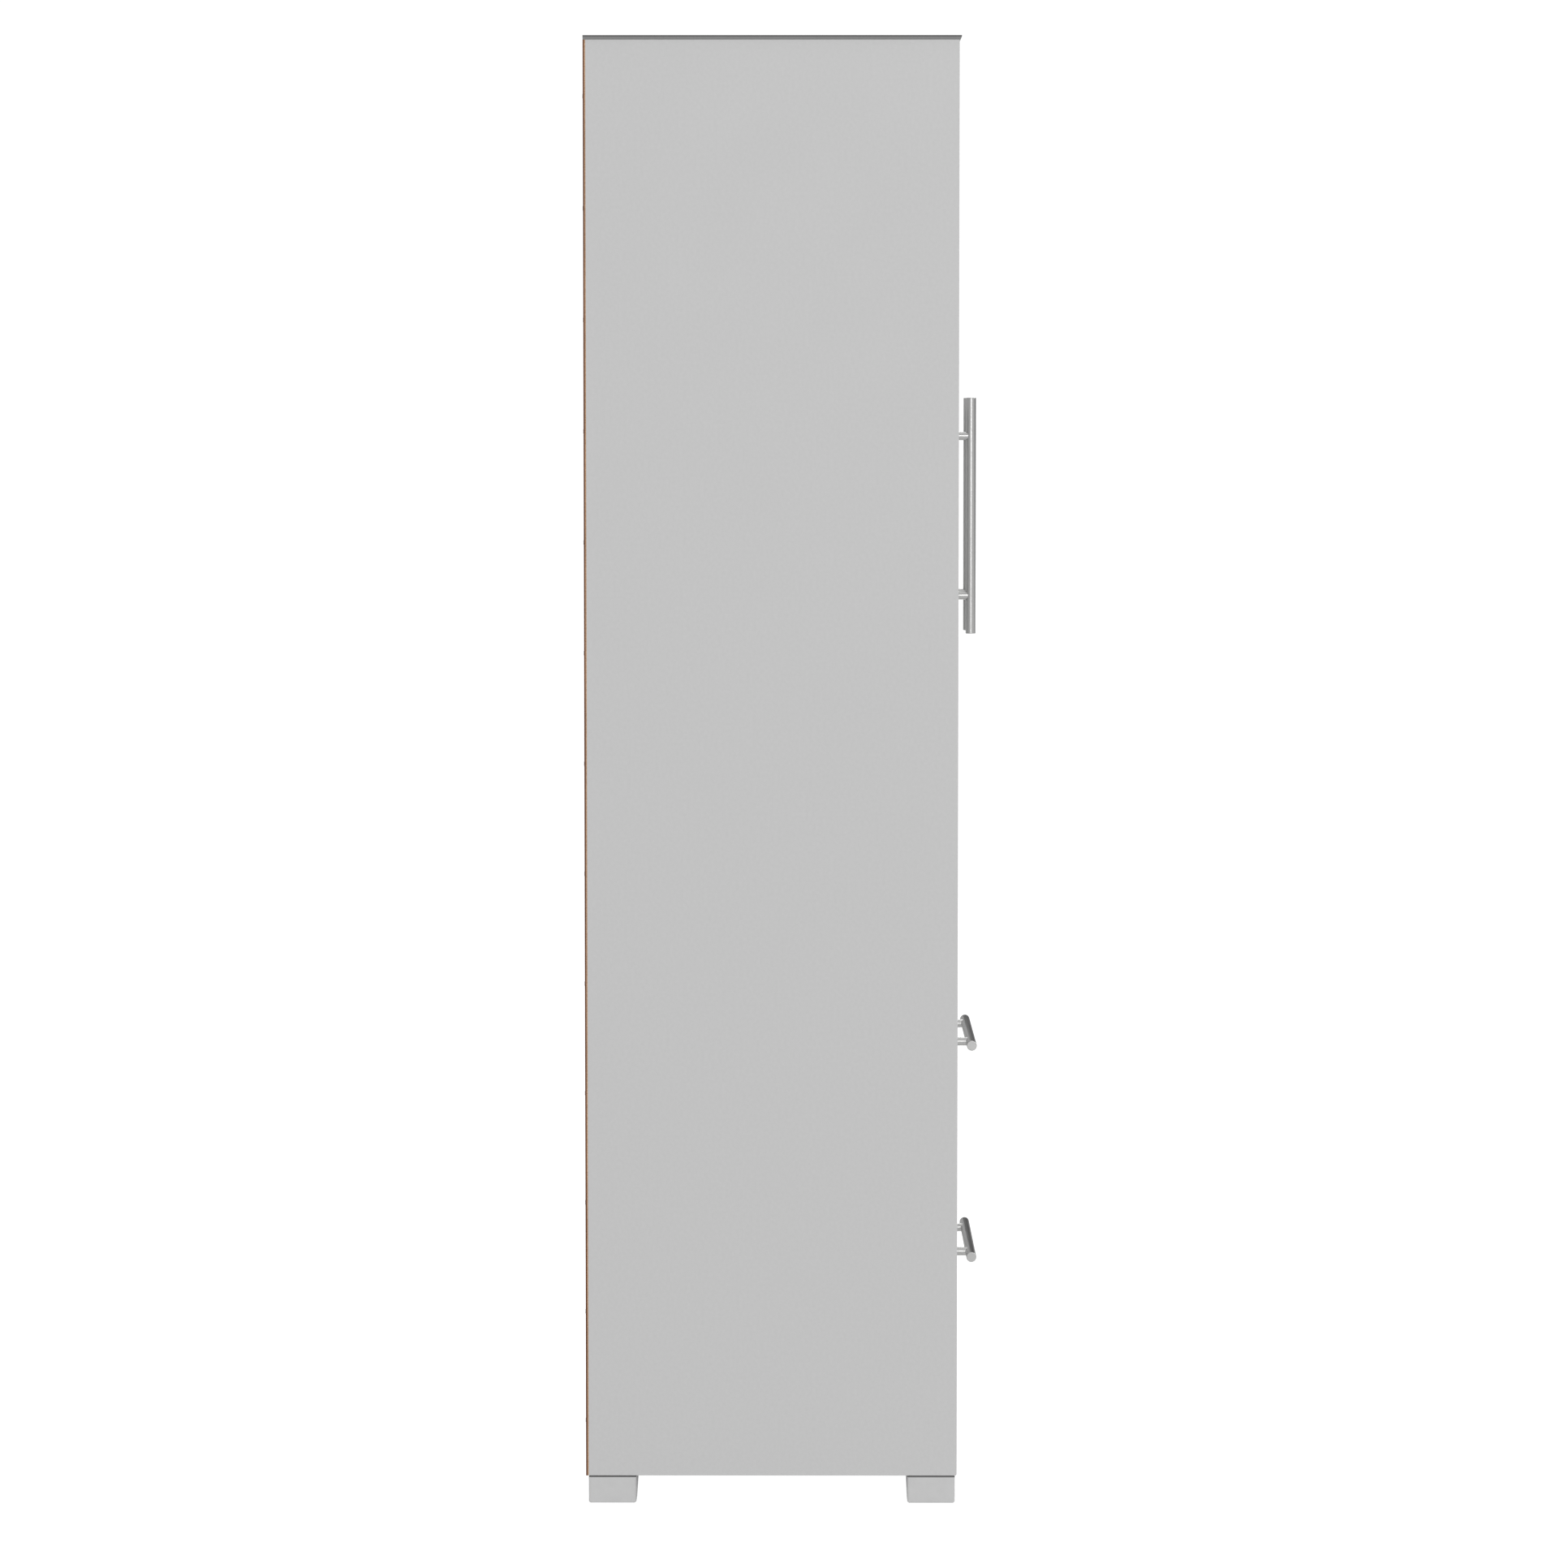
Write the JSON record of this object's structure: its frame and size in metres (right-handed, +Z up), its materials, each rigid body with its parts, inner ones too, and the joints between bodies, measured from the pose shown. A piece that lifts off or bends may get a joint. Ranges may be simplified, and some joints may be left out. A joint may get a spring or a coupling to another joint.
{
  "type": "pantry cabinet",
  "caption": "Tall free-standing pantry cabinet with inset pivot-hung doors over wide drawers on roller runners, bar handles, adjustable shelves and moulded feet.",
  "frame": {"origin": "middle of the footprint, handles included, on the floor", "axes": "+X to the cabinet's right as seen facing its front from -Y, -Y out of the front, +Z up"},
  "size_m": [0.8048, 0.4592, 1.684],
  "materials": {
    "melamine": "light grey melamine faced board, fine satin texture",
    "shelf_melamine": "pale melamine faced board inside the cabinet",
    "cap_laminate": "mid grey laminate cap, satin",
    "hardboard": "brown pressed hardboard, 3 mm",
    "beech": "turned beech dowel",
    "moulded_feet": "light grey moulded plastic, satin",
    "stainless": "brushed stainless steel",
    "zinc_plate": "bright zinc plate",
    "runner_enamel": "white epoxy coat",
    "roller_nylon": "off-white nylon",
    "catch_plastic": "white moulded plastic"
  },
  "bodies": {
    "case": {"left_side": "melamine", "right_side": "melamine", "top_panel": "melamine", "top_cap": "cap_laminate", "divider_shelf": "melamine", "bottom_panel": "melamine", "front_plinth": "melamine", "rear_plinth": "melamine", "pantry_shelf_1": "shelf_melamine", "pantry_shelf_2": "shelf_melamine", "pantry_shelf_3": "shelf_melamine", "pantry_shelf_4": "shelf_melamine", "shelf_pins": "zinc_plate", "back_panel": "hardboard", "back_nails": "zinc_plate", "front_left_foot": "moulded_feet", "front_right_foot": "moulded_feet", "rear_left_foot": "moulded_feet", "rear_right_foot": "moulded_feet", "foot_screws": "zinc_plate", "cam_fittings": "zinc_plate", "dowels": "beech", "wall_bracket": "zinc_plate", "hardware_screws": "zinc_plate", "left_pivot_plates": "zinc_plate", "right_pivot_plates": "zinc_plate", "magnetic_catches": "catch_plastic", "upper_cabinet_rails": "runner_enamel", "lower_cabinet_rails": "runner_enamel"},
    "left_door_leaf": {"left_door": "melamine", "left_door_handle": "stainless", "left_door_screws": "zinc_plate", "left_door_strike": "zinc_plate", "left_pivot_bushes": "roller_nylon"},
    "right_door_leaf": {"right_door": "melamine", "right_door_handle": "stainless", "right_door_screws": "zinc_plate", "right_door_strike": "zinc_plate", "right_pivot_bushes": "roller_nylon"},
    "upper_drawer": {"upper_drawer_front": "melamine", "upper_drawer_left_side": "shelf_melamine", "upper_drawer_right_side": "shelf_melamine", "upper_drawer_back": "shelf_melamine", "upper_drawer_bottom": "hardboard", "upper_drawer_handle": "stainless", "upper_drawer_rails": "runner_enamel", "upper_drawer_screws": "zinc_plate"},
    "upper_front_roller_pair": {"upper_front_rollers": "roller_nylon"},
    "upper_rear_roller_pair": {"upper_rear_rollers": "roller_nylon"},
    "lower_drawer": {"lower_drawer_front": "melamine", "lower_drawer_left_side": "shelf_melamine", "lower_drawer_right_side": "shelf_melamine", "lower_drawer_back": "shelf_melamine", "lower_drawer_bottom": "hardboard", "lower_drawer_handle": "stainless", "lower_drawer_rails": "runner_enamel", "lower_drawer_screws": "zinc_plate"},
    "lower_front_roller_pair": {"lower_front_rollers": "roller_nylon"},
    "lower_rear_roller_pair": {"lower_rear_rollers": "roller_nylon"}
  },
  "joints": [
    {"name": "left_door_hinge", "type": "hinge", "parent": "case", "child": "left_door_leaf", "pos_m": [-0.371, -0.193, 1.15], "axis": [0, 0, -1], "range_deg": [0, 110]},
    {"name": "right_door_hinge", "type": "hinge", "parent": "case", "child": "right_door_leaf", "pos_m": [0.371, -0.193, 1.15], "axis": [0, 0, 1], "range_deg": [0, 110]},
    {"name": "upper_drawer_slide", "type": "slide", "parent": "case", "child": "upper_drawer", "axis": [0, -1, 0], "range_m": [0, 0.26]},
    {"name": "upper_front_roller_spin", "type": "hinge", "parent": "case", "child": "upper_front_roller_pair", "pos_m": [0, -0.167, 0.4073], "axis": [1, 0, 0], "range_deg": [0, 1755]},
    {"name": "upper_rear_roller_spin", "type": "hinge", "parent": "upper_drawer", "child": "upper_rear_roller_pair", "pos_m": [0, 0.153, 0.405], "axis": [1, 0, 0], "range_deg": [0, 1755]},
    {"name": "lower_drawer_slide", "type": "slide", "parent": "case", "child": "lower_drawer", "axis": [0, -1, 0], "range_m": [0, 0.26]},
    {"name": "lower_front_roller_spin", "type": "hinge", "parent": "case", "child": "lower_front_roller_pair", "pos_m": [0, -0.167, 0.1523], "axis": [1, 0, 0], "range_deg": [0, 1755]},
    {"name": "lower_rear_roller_spin", "type": "hinge", "parent": "lower_drawer", "child": "lower_rear_roller_pair", "pos_m": [0, 0.153, 0.15], "axis": [1, 0, 0], "range_deg": [0, 1755]}
  ],
  "couplings": [
    {"joint": "upper_front_roller_spin", "follows": "upper_drawer_slide", "rad_per_m": 117.65},
    {"joint": "upper_rear_roller_spin", "follows": "upper_drawer_slide", "rad_per_m": 117.65},
    {"joint": "lower_front_roller_spin", "follows": "lower_drawer_slide", "rad_per_m": 117.65},
    {"joint": "lower_rear_roller_spin", "follows": "lower_drawer_slide", "rad_per_m": 117.65}
  ]
}
